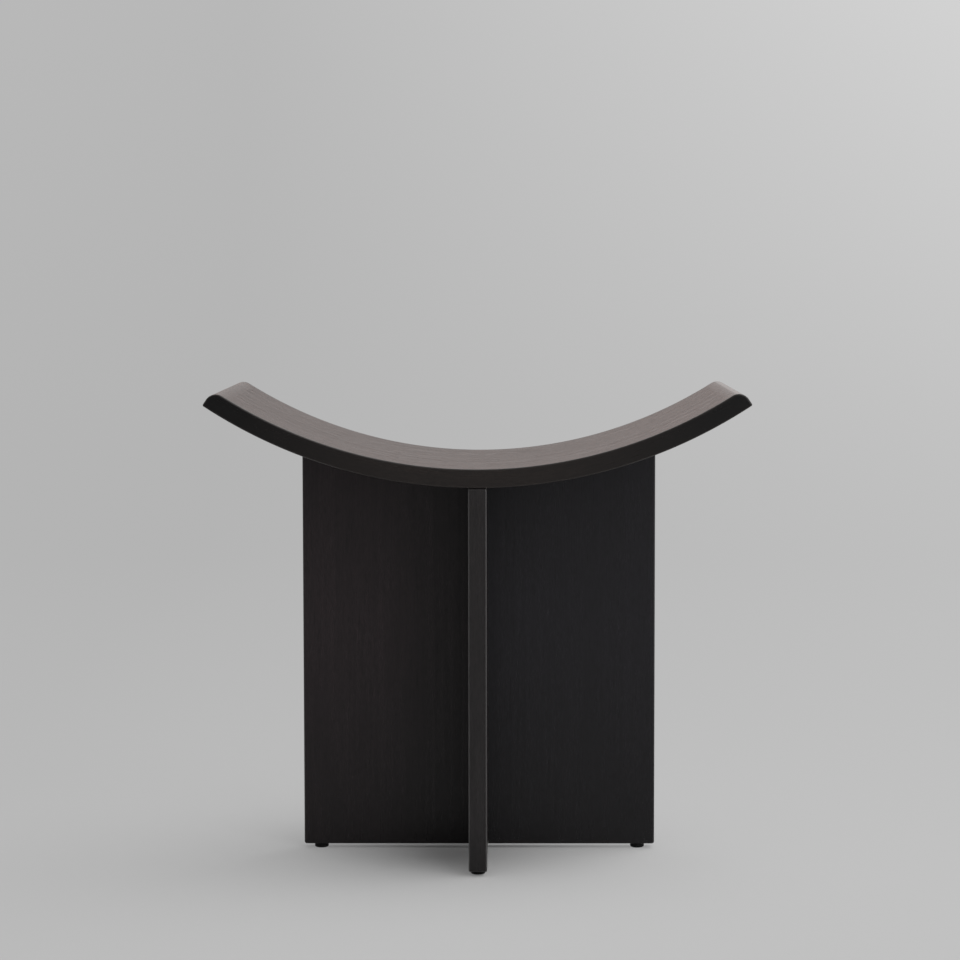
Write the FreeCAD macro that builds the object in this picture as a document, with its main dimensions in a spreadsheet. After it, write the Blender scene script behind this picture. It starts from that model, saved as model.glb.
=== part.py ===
import FreeCAD, Part
import math
import os

import Sketcher

# A stool with a dished seat on two upright panels that cross at the middle.
# Millimetres, +Z up, with the origin on the floor under the middle of the seat.
# +X runs along the seat's length and +Y from its front edge to its rear edge.

SIZES = {
    "seat_length": (558, "tip to tip, across the lower end corners"),
    "seat_depth": (310, "front face to rear face"),
    "seat_radius": (486, "arc of the sitting face"),
    "seat_thickness": (19, "sitting face to underside"),
    "dip_height": (419, "floor to the lowest point of the sitting face"),
    "nose_radius": (12, "round-over along the top edge of each end"),
    "nosing_width": (24, "solid end strip, measured along the underside"),
    "panel_thickness": (19, "both panels, over their veneers"),
    "wide_panel_width": (376, "panel that runs side to side"),
    "lap_height": (200, "floor to the seat of the cross lap"),
    "lap_clearance": (0.1, "each side of a panel in the other's slot"),
    "veneer": (0.6, "face veneer on seat and panels"),
    "lipping": (4, "solid strip on each panel edge and long seat edge"),
    "arris_bevel": (1, "easing of every edge that a hand meets"),
    "corner_radius": (2.5, "bottom corners of the panels"),
    "dowel_diameter": (8, "beech dowel"),
    "dowel_length": (30, "beech dowel, end to end"),
    "dowel_chamfer": (0.5, "both ends of a dowel"),
    "dowel_in_seat": (12, "reach of a dowel above the seat's underside"),
    "dowel_clearance": (0.1, "glue space round a dowel and past its ends"),
    "wide_dowel_inner": (62, "middle of the stool to the nearer dowel"),
    "wide_dowel_outer": (148, "middle of the stool to the farther dowel"),
    "cross_dowel_offset": (84, "middle of the stool to a dowel of the cross panel"),
    "glide_height": (5, "floor to the bottom edge of the panels"),
    "glide_diameter": (15, "straight rim of a glide"),
    "glide_foot_diameter": (13, "glide at the floor, inside its bevel"),
    "glide_bevel_height": (1, "floor to the straight rim of a glide"),
    "glide_inset": (18, "end of a panel to the middle of its glide"),
    "pin_diameter": (2.4, "steel pin of a glide"),
    "pin_length": (20, "steel pin, blunt end to point"),
    "pin_point": (2.4, "tapered point of a pin"),
    "pin_seat": (1.6, "floor to the blunt end of a pin, inside the glide"),
    "pin_clearance": (0.05, "round a pin in its glide and panel, and past its point"),
}

doc = FreeCAD.newDocument("CrossedPanelStool")
sheet = doc.addObject("Spreadsheet::Sheet", "Sizes")
for row, (alias, (value, meaning)) in enumerate(SIZES.items(), start=1):
    sheet.set(f"A{row}", alias)
    sheet.set(f"B{row}", str(value))
    sheet.setAlias(f"B{row}", alias)
    sheet.set(f"C{row}", meaning)
doc.recompute()

# Sizes that follow from the driving ones
ARC_CENTRE = "(Sizes.dip_height + Sizes.seat_radius)"
UNDER_RADIUS = "(Sizes.seat_radius + Sizes.seat_thickness)"
UNDER_HEIGHT = "(Sizes.dip_height - Sizes.seat_thickness)"
END_ANGLE = f"asin(Sizes.seat_length / 2 / {UNDER_RADIUS})"
NOSING_ANGLE = f"({END_ANGLE} - Sizes.nosing_width / {UNDER_RADIUS} * 180deg / pi)"
VENEERED_TOP = "(Sizes.seat_radius + Sizes.veneer)"
VENEERED_UNDER = f"({UNDER_RADIUS} - Sizes.veneer)"
BOARD_DEPTH = "(Sizes.seat_depth - 2 * Sizes.lipping)"
HALF_SEAT_LENGTH = "(Sizes.seat_length / 2)"
HALF_SEAT_DEPTH = "(Sizes.seat_depth / 2)"
HALF_WIDE_PANEL = "(Sizes.wide_panel_width / 2)"
HALF_PANEL = "(Sizes.panel_thickness / 2)"
HALF_CORE = f"({HALF_PANEL} - Sizes.veneer)"
HALF_SLOT = f"({HALF_PANEL} + Sizes.lap_clearance)"
PANEL_FOOT = "Sizes.glide_height"
CORE_FOOT = "(Sizes.glide_height + Sizes.lipping)"
TOUCH = 1e-4


def mm(expression):
    """The number that an expression over the sheet gives now."""
    value = sheet.evalExpression(expression)
    return float(getattr(value, "Value", value))


def bind(item, **expressions):
    """Tie properties of an object to expressions over the sheet."""
    for name, expression in expressions.items():
        item.setExpression(name, expression)


def place(item, **offsets):
    """Tie an object's place along the axes to expressions over the sheet."""
    for axis, expression in offsets.items():
        item.setExpression(f"Placement.Base.{axis}", expression)


def new_body(name):
    return doc.addObject("PartDesign::Body", name)


def new_sketch(body, name, plane):
    """A sketch on one of the body's own origin planes."""
    sketch = body.newObject("Sketcher::SketchObject", name)
    support = next(item for item in body.Origin.OriginFeatures if item.Role == plane)
    sketch.AttachmentSupport = [(support, "")]
    sketch.MapMode = "FlatFace"
    return sketch


def join(sketch, *pairs):
    """Make pairs of curve ends meet."""
    for first, second in pairs:
        sketch.addConstraint(Sketcher.Constraint("Coincident", *first, *second))


def dimension(sketch, name, expression, kind, *where):
    """Add a named dimension that follows an expression over the sheet."""
    index = sketch.addConstraint(Sketcher.Constraint(kind, *where, mm(expression)))
    sketch.renameConstraint(index, name)
    sketch.setExpression(f"Constraints.{name}", expression)


def hold(sketch, name, point, across, up):
    """Hold a curve end at two distances from the sketch's origin, or on its axes."""
    for axis, kind, line, expression in (("x", "DistanceX", -2, across), ("y", "DistanceY", -1, up)):
        if expression == "0":
            sketch.addConstraint(Sketcher.Constraint("PointOnObject", *point, line))
        else:
            dimension(sketch, f"{name}_{axis}", expression, kind, -1, 1, *point)


def outline(sketch, corners):
    """A closed outline of straight lines through corners given as pairs of expressions."""
    points = [FreeCAD.Vector(mm(across), mm(up), 0) for across, up in corners]
    count = len(points)
    lines = [sketch.addGeometry(Part.LineSegment(points[i], points[(i + 1) % count])) for i in range(count)]
    for i, (across, up) in enumerate(corners):
        join(sketch, ((lines[i - 1], 2), (lines[i], 1)))
        hold(sketch, f"corner{i}", (lines[i], 1), across, up)


def padded(body, sketch, name, length):
    """A pad to both sides of its sketch."""
    pad = body.newObject("PartDesign::Pad", name)
    pad.Profile = sketch
    pad.SideType = "Symmetric"
    bind(pad, Length=length)
    doc.recompute()
    return pad


def pocketed(body, sketch, name):
    """A cut right through, to both sides of its sketch."""
    pocket = body.newObject("PartDesign::Pocket", name)
    pocket.Profile = sketch
    pocket.SideType = "Symmetric"
    pocket.Type = "ThroughAll"
    doc.recompute()
    return pocket


def edges_of(feature, wanted):
    """The names of a feature's edges that pass a test."""
    return [f"Edge{i}" for i, edge in enumerate(feature.Shape.Edges, start=1) if wanted(edge)]


def rounded(body, feature, name, radius, wanted):
    """Round the edges of a feature that pass a test."""
    fillet = body.newObject("PartDesign::Fillet", name)
    fillet.Base = (feature, edges_of(feature, wanted))
    bind(fillet, Radius=radius)
    doc.recompute()
    return fillet


def eased(body, feature, name, wanted):
    """Bevel the edges of a feature that pass a test, as a maker eases an arris."""
    chamfer = body.newObject("PartDesign::Chamfer", name)
    chamfer.Base = (feature, edges_of(feature, wanted))
    bind(chamfer, Size="Sizes.arris_bevel")
    doc.recompute()
    return chamfer


def runs_along(edge, axis):
    """True for a straight edge along x, y or z."""
    ends = [vertex.Point for vertex in edge.Vertexes]
    return edge.Curve.TypeId == "Part::GeomLine" and abs(getattr(ends[1] - ends[0], axis)) > edge.Length - TOUCH


def lies_at(edge, axis, distance):
    """True for an edge that lies at a distance from the middle plane, on either side."""
    spots = [vertex.Point for vertex in edge.Vertexes] + [edge.CenterOfMass]
    return all(abs(abs(getattr(spot, axis)) - distance) < TOUCH for spot in spots)


def from_arc_centre(point):
    return math.hypot(point.x, point.z - mm(ARC_CENTRE))


def bent_board(name, inner, outer, start, end, depth):
    """A board bent about the seat's arc centre, between two radii and two angles."""
    body = new_body(name)
    sketch = new_sketch(body, f"{name}_profile", "XZ_Plane")
    centre = FreeCAD.Vector(0, mm(ARC_CENTRE), 0)
    below = 1.5 * math.pi
    swing = (below + math.radians(mm(start)), below + math.radians(mm(end)))
    circles = [Part.Circle(centre, FreeCAD.Vector(0, 0, 1), mm(radius)) for radius in (inner, outer)]
    upper, lower = [Part.ArcOfCircle(circle, *swing) for circle in circles]
    top = sketch.addGeometry(upper)
    under = sketch.addGeometry(lower)
    first = sketch.addGeometry(Part.LineSegment(upper.StartPoint, lower.StartPoint))
    last = sketch.addGeometry(Part.LineSegment(upper.EndPoint, lower.EndPoint))
    join(sketch, ((first, 1), (top, 1)), ((first, 2), (under, 1)))
    join(sketch, ((last, 1), (top, 2)), ((last, 2), (under, 2)), ((top, 3), (under, 3)))
    for line in (first, last):
        sketch.addConstraint(Sketcher.Constraint("PointOnObject", top, 3, line))
    hold(sketch, "arc_centre", (top, 3), "0", ARC_CENTRE)
    dimension(sketch, "top_radius", inner, "Radius", top)
    dimension(sketch, "under_radius", outer, "Radius", under)
    dimension(sketch, "first_end", f"{outer} * sin({start})", "DistanceX", -1, 1, under, 1)
    dimension(sketch, "last_end", f"{outer} * sin({end})", "DistanceX", -1, 1, under, 2)
    padded(body, sketch, f"{name}_pad", depth)
    return body


def block(name, x, y, z):
    """A block between a lower and an upper expression along each axis."""
    box = doc.addObject("Part::Box", name)
    for length, axis, (low, high) in (("Length", "x", x), ("Width", "y", y), ("Height", "z", z)):
        box.setExpression(length, f"({high}) - ({low})")
        place(box, **{axis: low})
    return box


def common(label, form, zone):
    """What a form and a zone share, under its own label."""
    shared = doc.addObject("Part::Common", label)
    shared.Base = form
    shared.Tool = zone
    return shared


def bored(label, solid, borings):
    """A solid with borings taken out, under its own label."""
    drilled = doc.addObject("Part::Cut", label)
    drilled.Base = solid
    drilled.Tool = borings
    return drilled


def gathered(label, items):
    group = doc.addObject("Part::Compound", label)
    group.Links = items
    return group


def turned(name, corners):
    """A body turned about its own Z axis from an outline of radius and height pairs."""
    body = new_body(name)
    sketch = new_sketch(body, f"{name}_profile", "XZ_Plane")
    outline(sketch, corners)
    revolution = body.newObject("PartDesign::Revolution", f"{name}_turning")
    revolution.Profile = sketch
    revolution.ReferenceAxis = (sketch, ["V_Axis"])
    doc.recompute()
    return body


# Borings for the dowels, half in the panel's top edge and half in the seat
DOWEL_RADIUS = "(Sizes.dowel_diameter / 2)"
BORE_RADIUS = f"({DOWEL_RADIUS} + Sizes.dowel_clearance)"
DOWEL_IN_PANEL = "(Sizes.dowel_length - Sizes.dowel_in_seat)"
DOWEL_PROFILE = (
    ("0", "0"),
    (f"{DOWEL_RADIUS} - Sizes.dowel_chamfer", "0"),
    (DOWEL_RADIUS, "Sizes.dowel_chamfer"),
    (DOWEL_RADIUS, "Sizes.dowel_length - Sizes.dowel_chamfer"),
    (f"{DOWEL_RADIUS} - Sizes.dowel_chamfer", "Sizes.dowel_length"),
    ("0", "Sizes.dowel_length"),
)


def dowel_row(panel, axis, offsets, meeting):
    """Dowels along one panel, and their borings; meeting gives the seat's underside at an offset."""
    dowels = []
    borings = []
    spots = [f"{side} * {offset}" for offset in offsets for side in ("-1", "1")]
    for i, spot in enumerate(spots, start=1):
        start = f"{meeting(spot)} - {DOWEL_IN_PANEL}"
        dowel = turned(f"{panel}_dowel_{i}", DOWEL_PROFILE)
        place(dowel, **{axis: spot, "z": start})
        boring = doc.addObject("Part::Cylinder", f"{panel}_dowel_boring_{i}")
        bind(boring, Radius=BORE_RADIUS, Height="Sizes.dowel_length + 2 * Sizes.dowel_clearance")
        place(boring, **{axis: spot, "z": f"{start} - Sizes.dowel_clearance"})
        dowels.append(dowel)
        borings.append(boring)
    return gathered(f"{panel}_dowels", dowels), gathered(f"{panel}_dowel_borings", borings)


wide_dowels, wide_dowel_borings = dowel_row(
    "wide_panel",
    "x",
    ("Sizes.wide_dowel_inner", "Sizes.wide_dowel_outer"),
    lambda spot: f"{ARC_CENTRE} - sqrt({UNDER_RADIUS} ^ 2 - ({spot}) ^ 2)",
)
cross_dowels, cross_dowel_borings = dowel_row(
    "cross_panel",
    "y",
    ("Sizes.cross_dowel_offset",),
    lambda spot: UNDER_HEIGHT,
)

# Glides, turned discs on a steel pin that is driven up into the panel
PIN_RADIUS = "(Sizes.pin_diameter / 2)"
PIN_BORE = f"({PIN_RADIUS} + Sizes.pin_clearance)"
PIN_TIP = "(Sizes.pin_seat + Sizes.pin_length)"
GLIDE_RIM = "(Sizes.glide_diameter / 2)"
GLIDE_PROFILE = (
    (PIN_BORE, "Sizes.glide_height"),
    (GLIDE_RIM, "Sizes.glide_height"),
    (GLIDE_RIM, "Sizes.glide_bevel_height"),
    ("Sizes.glide_foot_diameter / 2", "0"),
    ("0", "0"),
    ("0", "Sizes.pin_seat"),
    (PIN_BORE, "Sizes.pin_seat"),
)
PIN_PROFILE = (
    ("0", "Sizes.pin_seat"),
    (PIN_RADIUS, "Sizes.pin_seat"),
    (PIN_RADIUS, f"{PIN_TIP} - Sizes.pin_point"),
    ("0", PIN_TIP),
)
GLIDE_SPOTS = {
    "left": ("x", f"Sizes.glide_inset - {HALF_WIDE_PANEL}"),
    "right": ("x", f"{HALF_WIDE_PANEL} - Sizes.glide_inset"),
    "front": ("y", f"Sizes.glide_inset - {HALF_SEAT_DEPTH}"),
    "rear": ("y", f"{HALF_SEAT_DEPTH} - Sizes.glide_inset"),
}
glides = {}
pins = {}
pin_borings = {}
for side, (axis, spot) in GLIDE_SPOTS.items():
    glides[side] = turned(f"{side}_glide", GLIDE_PROFILE)
    pins[side] = turned(f"{side}_glide_pin", PIN_PROFILE)
    pin_borings[side] = doc.addObject("Part::Cylinder", f"{side}_pin_boring")
    bind(pin_borings[side], Radius=PIN_BORE, Height=f"{PIN_TIP} + Sizes.pin_clearance")
    for item in (glides[side], pins[side], pin_borings[side]):
        place(item, **{axis: spot})
glide_pins = gathered("glide_pins", list(pins.values()))

# Seat, shaped as one bent board and split along its glue lines
seat_form = bent_board(
    "seat_form", "Sizes.seat_radius", UNDER_RADIUS, f"-{END_ANGLE}", END_ANGLE, "Sizes.seat_depth"
)
seat_ends = rounded(
    seat_form, seat_form.Tip, "seat_form_noses", "Sizes.nose_radius",
    lambda edge: runs_along(edge, "y") and from_arc_centre(edge.CenterOfMass) < mm(UNDER_RADIUS) - TOUCH,
)
eased(
    seat_form, seat_ends, "seat_form_arrises",
    lambda edge: lies_at(edge, "y", mm(HALF_SEAT_DEPTH)) or lies_at(edge, "x", mm(HALF_SEAT_LENGTH)),
)
seat_dowel_borings = gathered("seat_dowel_borings", [wide_dowel_borings, cross_dowel_borings])

seat_core = bored(
    "seat_core",
    bent_board("seat_core_blank", VENEERED_TOP, VENEERED_UNDER, f"-{NOSING_ANGLE}", NOSING_ANGLE, BOARD_DEPTH),
    seat_dowel_borings,
)
seat_top_veneer = common(
    "seat_top_veneer",
    seat_form,
    bent_board("top_layer", "Sizes.seat_radius", VENEERED_TOP, f"-{END_ANGLE}", END_ANGLE, BOARD_DEPTH),
)
seat_underside_veneer = bored(
    "seat_underside_veneer",
    common(
        "seat_underside_veneer_blank",
        seat_form,
        bent_board("under_layer", VENEERED_UNDER, UNDER_RADIUS, f"-{END_ANGLE}", END_ANGLE, BOARD_DEPTH),
    ),
    seat_dowel_borings,
)
seat_nosings = [
    common(f"seat_{side}_nosing", seat_form,
           bent_board(f"{side}_nosing_layer", VENEERED_TOP, VENEERED_UNDER, start, end, BOARD_DEPTH))
    for side, start, end in (
        ("left", f"-{END_ANGLE}", f"-{NOSING_ANGLE}"),
        ("right", NOSING_ANGLE, END_ANGLE),
    )
]
SEAT_RUN = (f"-{HALF_SEAT_LENGTH}", HALF_SEAT_LENGTH)
SEAT_RISE = (UNDER_HEIGHT, ARC_CENTRE)
seat_lippings = [
    common(f"seat_{side}_lipping", seat_form, block(f"seat_{side}_lipping_zone", SEAT_RUN, band, SEAT_RISE))
    for side, band in (
        ("front", (f"-{HALF_SEAT_DEPTH}", f"Sizes.lipping - {HALF_SEAT_DEPTH}")),
        ("rear", (f"{HALF_SEAT_DEPTH} - Sizes.lipping", HALF_SEAT_DEPTH)),
    )
]

# Wide panel, coped to the seat's underside and slotted from below
wide_form = new_body("wide_panel_form")
wide_sketch = new_sketch(wide_form, "wide_panel_outline", "XZ_Plane")
half_width = mm(HALF_WIDE_PANEL)
cope_height = mm(ARC_CENTRE) - math.sqrt(mm(UNDER_RADIUS) ** 2 - half_width ** 2)
foot = mm(PANEL_FOOT)
cope_swing = math.asin(half_width / mm(UNDER_RADIUS))
cope_circle = Part.Circle(FreeCAD.Vector(0, mm(ARC_CENTRE), 0), FreeCAD.Vector(0, 0, 1), mm(UNDER_RADIUS))
cope = wide_sketch.addGeometry(
    Part.ArcOfCircle(cope_circle, 1.5 * math.pi - cope_swing, 1.5 * math.pi + cope_swing)
)
left_top, left_foot, right_foot, right_top = [
    FreeCAD.Vector(*corner, 0)
    for corner in ((-half_width, cope_height), (-half_width, foot), (half_width, foot), (half_width, cope_height))
]
left_edge = wide_sketch.addGeometry(Part.LineSegment(left_top, left_foot))
foot_edge = wide_sketch.addGeometry(Part.LineSegment(left_foot, right_foot))
right_edge = wide_sketch.addGeometry(Part.LineSegment(right_foot, right_top))
join(wide_sketch, ((cope, 1), (left_edge, 1)), ((left_edge, 2), (foot_edge, 1)))
join(wide_sketch, ((foot_edge, 2), (right_edge, 1)), ((right_edge, 2), (cope, 2)))
for upright in (left_edge, right_edge):
    wide_sketch.addConstraint(Sketcher.Constraint("Vertical", upright))
hold(wide_sketch, "arc_centre", (cope, 3), "0", ARC_CENTRE)
dimension(wide_sketch, "cope_radius", UNDER_RADIUS, "Radius", cope)
hold(wide_sketch, "left_foot", (foot_edge, 1), f"-{HALF_WIDE_PANEL}", PANEL_FOOT)
hold(wide_sketch, "right_foot", (foot_edge, 2), HALF_WIDE_PANEL, PANEL_FOOT)
wide_pad = padded(wide_form, wide_sketch, "wide_panel_pad", "Sizes.panel_thickness")
wide_corners = rounded(
    wide_form, wide_pad, "wide_panel_corners", "Sizes.corner_radius",
    lambda edge: runs_along(edge, "y") and edge.CenterOfMass.z < mm(PANEL_FOOT) + TOUCH,
)
eased(
    wide_form, wide_corners, "wide_panel_arrises",
    lambda edge: lies_at(edge, "y", mm(HALF_PANEL)) and edge.CenterOfMass.z < mm(UNDER_HEIGHT),
)
wide_slot = new_sketch(wide_form, "wide_panel_slot_outline", "XZ_Plane")
outline(wide_slot, (
    (f"-{HALF_SLOT}", "0"),
    (HALF_SLOT, "0"),
    (HALF_SLOT, "Sizes.lap_height"),
    (f"-{HALF_SLOT}", "Sizes.lap_height"),
))
pocketed(wide_form, wide_slot, "wide_panel_slot")

# Cross panel, flush with the seat's front and rear faces and slotted from above
cross_form = new_body("cross_panel_form")
cross_sketch = new_sketch(cross_form, "cross_panel_outline", "YZ_Plane")
outline(cross_sketch, (
    (f"-{HALF_SEAT_DEPTH}", PANEL_FOOT),
    (HALF_SEAT_DEPTH, PANEL_FOOT),
    (HALF_SEAT_DEPTH, UNDER_HEIGHT),
    (f"-{HALF_SEAT_DEPTH}", UNDER_HEIGHT),
))
cross_pad = padded(cross_form, cross_sketch, "cross_panel_pad", "Sizes.panel_thickness")
cross_corners = rounded(
    cross_form, cross_pad, "cross_panel_corners", "Sizes.corner_radius",
    lambda edge: runs_along(edge, "x") and edge.CenterOfMass.z < mm(PANEL_FOOT) + TOUCH,
)
eased(
    cross_form, cross_corners, "cross_panel_arrises",
    lambda edge: (lies_at(edge, "x", mm(HALF_PANEL)) and edge.CenterOfMass.z < mm(UNDER_HEIGHT) - TOUCH)
    or (runs_along(edge, "x") and edge.CenterOfMass.z > mm(UNDER_HEIGHT) - TOUCH),
)
cross_slot = new_sketch(cross_form, "cross_panel_slot_outline", "YZ_Plane")
outline(cross_slot, (
    (f"-{HALF_SLOT}", "Sizes.lap_height"),
    (HALF_SLOT, "Sizes.lap_height"),
    (HALF_SLOT, ARC_CENTRE),
    (f"-{HALF_SLOT}", ARC_CENTRE),
))
pocketed(cross_form, cross_slot, "cross_panel_slot")


def split_panel(form, panel, half_run, ends, faces, feet, block_along, dowel_borings):
    """Split a panel along its glue lines into a core, two veneers and its edge lippings."""
    half_board = f"({half_run} - Sizes.lipping)"
    board = (f"-{half_board}", half_board)
    thickness = (f"-{HALF_PANEL}", HALF_PANEL)
    above_foot = (CORE_FOOT, ARC_CENTRE)
    borings = gathered(f"{panel}_borings", [dowel_borings] + [pin_borings[end] for end in ends])
    core_zone = block_along(f"{panel}_core_zone", board, (f"-{HALF_CORE}", HALF_CORE), above_foot)
    pieces = [bored(f"{panel}_core", common(f"{panel}_core_blank", form, core_zone), borings)]
    for face, layer in zip(faces, ((f"-{HALF_PANEL}", f"-{HALF_CORE}"), (HALF_CORE, HALF_PANEL))):
        zone = block_along(f"{panel}_{face}_veneer_zone", board, layer, above_foot)
        pieces.append(common(f"{panel}_{face}_veneer", form, zone))
    for end, band in zip(ends, ((f"-{half_run}", f"-{half_board}"), (half_board, half_run))):
        zone = block_along(f"{panel}_{end}_lipping_zone", band, thickness, (PANEL_FOOT, ARC_CENTRE))
        pieces.append(common(f"{panel}_{end}_lipping", form, zone))
    for name, band in feet.items():
        zone = block_along(f"{name}_zone", band(half_board), thickness, (PANEL_FOOT, CORE_FOOT))
        pieces.append(bored(name, common(f"{name}_blank", form, zone), borings))
    return pieces


wide_pieces = split_panel(
    wide_form, "wide_panel", HALF_WIDE_PANEL, ("left", "right"), ("front", "rear"),
    {
        "wide_panel_left_bottom_lipping": lambda half_board: (f"-{half_board}", "0"),
        "wide_panel_right_bottom_lipping": lambda half_board: ("0", half_board),
    },
    lambda name, run, thickness, rise: block(name, run, thickness, rise),
    wide_dowel_borings,
)
cross_pieces = split_panel(
    cross_form, "cross_panel", HALF_SEAT_DEPTH, ("front", "rear"), ("left", "right"),
    {"cross_panel_bottom_lipping": lambda half_board: (f"-{half_board}", half_board)},
    lambda name, run, thickness, rise: block(name, thickness, run, rise),
    cross_dowel_borings,
)

# Every sub-part, checked and written under its label
SUB_PARTS = [
    seat_core, seat_top_veneer, seat_underside_veneer, *seat_nosings, *seat_lippings,
    *wide_pieces, *cross_pieces, wide_dowels, cross_dowels, *glides.values(), glide_pins,
]
doc.recompute()
for item in doc.Objects:
    if "Invalid" in item.State or "Error" in item.State:
        raise RuntimeError(f"{item.Label} failed: {item.State}")
for item in SUB_PARTS:
    if item.Shape.isNull() or not item.Shape.isValid() or not item.Shape.Solids:
        raise RuntimeError(f"{item.Label} has no valid solid")
os.makedirs("parts", exist_ok=True)
for item in SUB_PARTS:
    item.Shape.exportStep(os.path.join("parts", f"{item.Label}.step"))
    print(f"{item.Label}: {len(item.Shape.Solids)} solid(s), {item.Shape.Volume / 1000:.2f} cm3")
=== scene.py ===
import math

import bmesh
import bpy
from mathutils import Matrix, Vector


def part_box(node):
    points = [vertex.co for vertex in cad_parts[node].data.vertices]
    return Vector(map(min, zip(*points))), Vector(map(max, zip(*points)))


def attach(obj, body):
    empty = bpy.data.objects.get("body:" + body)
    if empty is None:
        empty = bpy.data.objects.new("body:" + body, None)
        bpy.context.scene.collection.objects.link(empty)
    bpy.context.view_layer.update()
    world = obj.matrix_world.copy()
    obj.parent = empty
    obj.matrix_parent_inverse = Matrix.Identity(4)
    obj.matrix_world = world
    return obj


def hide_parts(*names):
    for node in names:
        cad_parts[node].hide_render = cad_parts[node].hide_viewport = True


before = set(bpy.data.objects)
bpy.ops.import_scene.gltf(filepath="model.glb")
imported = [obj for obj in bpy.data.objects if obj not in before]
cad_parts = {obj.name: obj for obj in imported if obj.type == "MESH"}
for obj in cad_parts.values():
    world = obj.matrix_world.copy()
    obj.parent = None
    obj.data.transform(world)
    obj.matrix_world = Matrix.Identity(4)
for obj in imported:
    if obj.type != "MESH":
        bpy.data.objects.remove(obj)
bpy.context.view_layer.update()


# Cores of the seat and the two panels: birch plywood, the seat's pressed to a curved former and the
# panels' left flat. Veneers and lippings hide them, so the CAD solids stay and take this finish.
SITTING_RADIUS = 0.486
SEAT_THICKNESS = 0.019
PLY_THICKNESS = 0.0014
GLUE_SHARE = 0.08
BIRCH_ALONG = (0.52, 0.36, 0.21, 1)
BIRCH_ACROSS = (0.38, 0.24, 0.13, 1)
BIRCH_FIBRE = (0.25, 0.15, 0.08, 1)
GLUE_BROWN = (0.10, 0.055, 0.03, 1)
FIBRE_INK = 0.35
BIRCH_ROUGHNESS = (0.65, 0.85)
# Any streak of grain is given by its length and its width.
FIBRE = (0.030, 0.0007)
# Most of a noise lies between these two values.
NOISE_LIMITS = (0.3, 0.7)

under_radius = SITTING_RADIUS + SEAT_THICKNESS
arc_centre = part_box("seat_underside_veneer")[0].z + under_radius


def node(tree, kind, inputs=(), **settings):
    """A node of a tree with its settings, and its inputs as values or as other nodes' outputs."""
    made = tree.nodes.new(kind)
    for setting, value in settings.items():
        setattr(made, setting, value)
    for socket, value in dict(inputs).items():
        if isinstance(value, bpy.types.NodeSocket):
            tree.links.new(value, made.inputs[socket])
        else:
            made.inputs[socket].default_value = value
    return made


def calculated(tree, operation, *values):
    """The result of one operation on numbers or on other nodes' outputs."""
    return node(tree, "ShaderNodeMath", dict(enumerate(values)), operation=operation).outputs[0]


def ranged(tree, value, low, high, at_low=0.0, at_high=1.0):
    """A value taken from one range to another and held at its ends."""
    limits = {"Value": value, "From Min": low, "From Max": high, "To Min": at_low, "To Max": at_high}
    return node(tree, "ShaderNodeMapRange", limits).outputs["Result"]


def blended(tree, share, first, second):
    """Two colours mixed by a share. Other sockets have the same names, so these are given by number."""
    inputs = {0: share, 6: first, 7: second}
    return node(tree, "ShaderNodeMix", inputs, data_type="RGBA").outputs[2]


def streaked(tree, flow, streak, seed, detail=0.0):
    """Noise drawn out along the grain into streaks about as long and as wide as the one given."""
    length, width = streak
    stretch = {"Vector": flow, "Location": (seed, seed, seed), "Scale": (1 / length, 1 / width, 1 / width)}
    stretched = node(tree, "ShaderNodeMapping", stretch).outputs["Vector"]
    noise = {"Vector": stretched, "Scale": 1.0, "Detail": detail}
    return node(tree, "ShaderNodeTexNoise", noise).outputs["Fac"]


def new_finish(name):
    """A material with its tree and its shader."""
    finish = bpy.data.materials.new(name)
    finish.use_nodes = True
    return finish, finish.node_tree, finish.node_tree.nodes["Principled BSDF"]


def place_of(tree):
    """Where a point lies in the stool's own frame."""
    return node(tree, "ShaderNodeTexCoord").outputs["Object"]


def axes_of(tree, vector):
    """The coordinates of a vector, by their letters."""
    return node(tree, "ShaderNodeSeparateXYZ", {"Vector": vector}).outputs


def vector_of(tree, x=0.0, y=0.0, z=0.0):
    """A vector from its coordinates."""
    return node(tree, "ShaderNodeCombineXYZ", {"X": x, "Y": y, "Z": z}).outputs["Vector"]


def bent_grain(tree, crosswise=False):
    """Where a point lay before the seat was bent: along the grain, across it and above the sitting face."""
    axes = axes_of(tree, place_of(tree))
    drop = calculated(tree, "SUBTRACT", arc_centre, axes["Z"])
    angle = calculated(tree, "ARCTAN2", axes["X"], drop)
    along = calculated(tree, "MULTIPLY", angle, SITTING_RADIUS)
    spoke = vector_of(tree, axes["X"], drop)
    reach = node(tree, "ShaderNodeVectorMath", {0: spoke}, operation="LENGTH").outputs["Value"]
    above = calculated(tree, "SUBTRACT", SITTING_RADIUS, reach)
    if crosswise:
        return vector_of(tree, axes["Y"], along, above)
    return vector_of(tree, along, axes["Y"], above)


def straight_grain(along, across, through):
    """The lay of the grain in a flat piece, by the axes that run along, across and through it."""
    def lay(tree):
        axes = axes_of(tree, place_of(tree))
        return vector_of(tree, axes[along], axes[across], axes[through])
    return lay


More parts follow.
